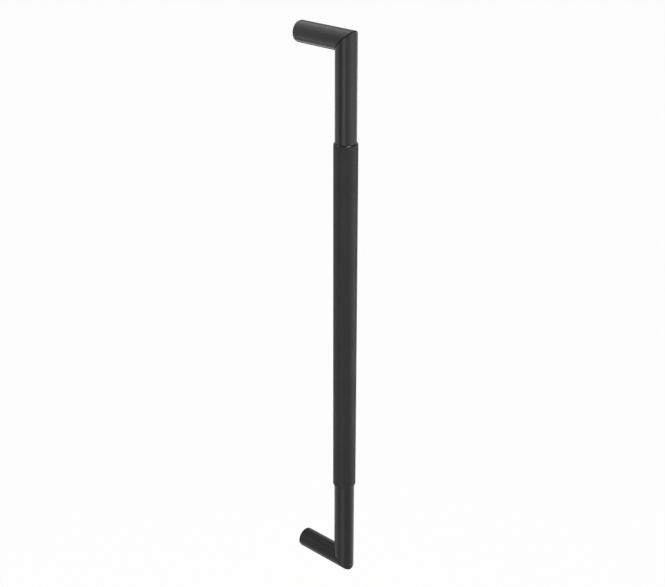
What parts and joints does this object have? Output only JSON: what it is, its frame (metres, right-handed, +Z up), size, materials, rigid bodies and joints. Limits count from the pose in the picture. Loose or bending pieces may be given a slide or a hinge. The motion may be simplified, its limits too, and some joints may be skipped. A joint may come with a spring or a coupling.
{
  "type": "door pull handle",
  "caption": "Straight door pull handle: a round bar with mitred arms, a thicker textured grip sleeve, and threaded inserts with washers at its feet.",
  "frame": {"origin": "on the door face, midway between the two fixings, which are 300 mm above and below it", "axes": "+Z up along the bar, +Y into the door along the fixing bolts, so the handle stands out towards -Y; +X to the right seen from the front"},
  "size_m": [0.025, 0.0735, 0.622],
  "materials": {
    "black_coated_tube": "satin",
    "black_knurled_grip": "matte",
    "bare_steel": "satin",
    "black_nylon": "matte"
  },
  "bodies": {
    "root": {"bar_tube": "black_coated_tube", "upper_arm_tube": "black_coated_tube", "lower_arm_tube": "black_coated_tube", "grip_sleeve": "black_knurled_grip", "upper_corner_connector": "bare_steel", "lower_corner_connector": "bare_steel", "upper_foot_insert": "bare_steel", "lower_foot_insert": "bare_steel", "upper_foot_washer": "black_nylon", "lower_foot_washer": "black_nylon"}
  },
  "joints": []
}
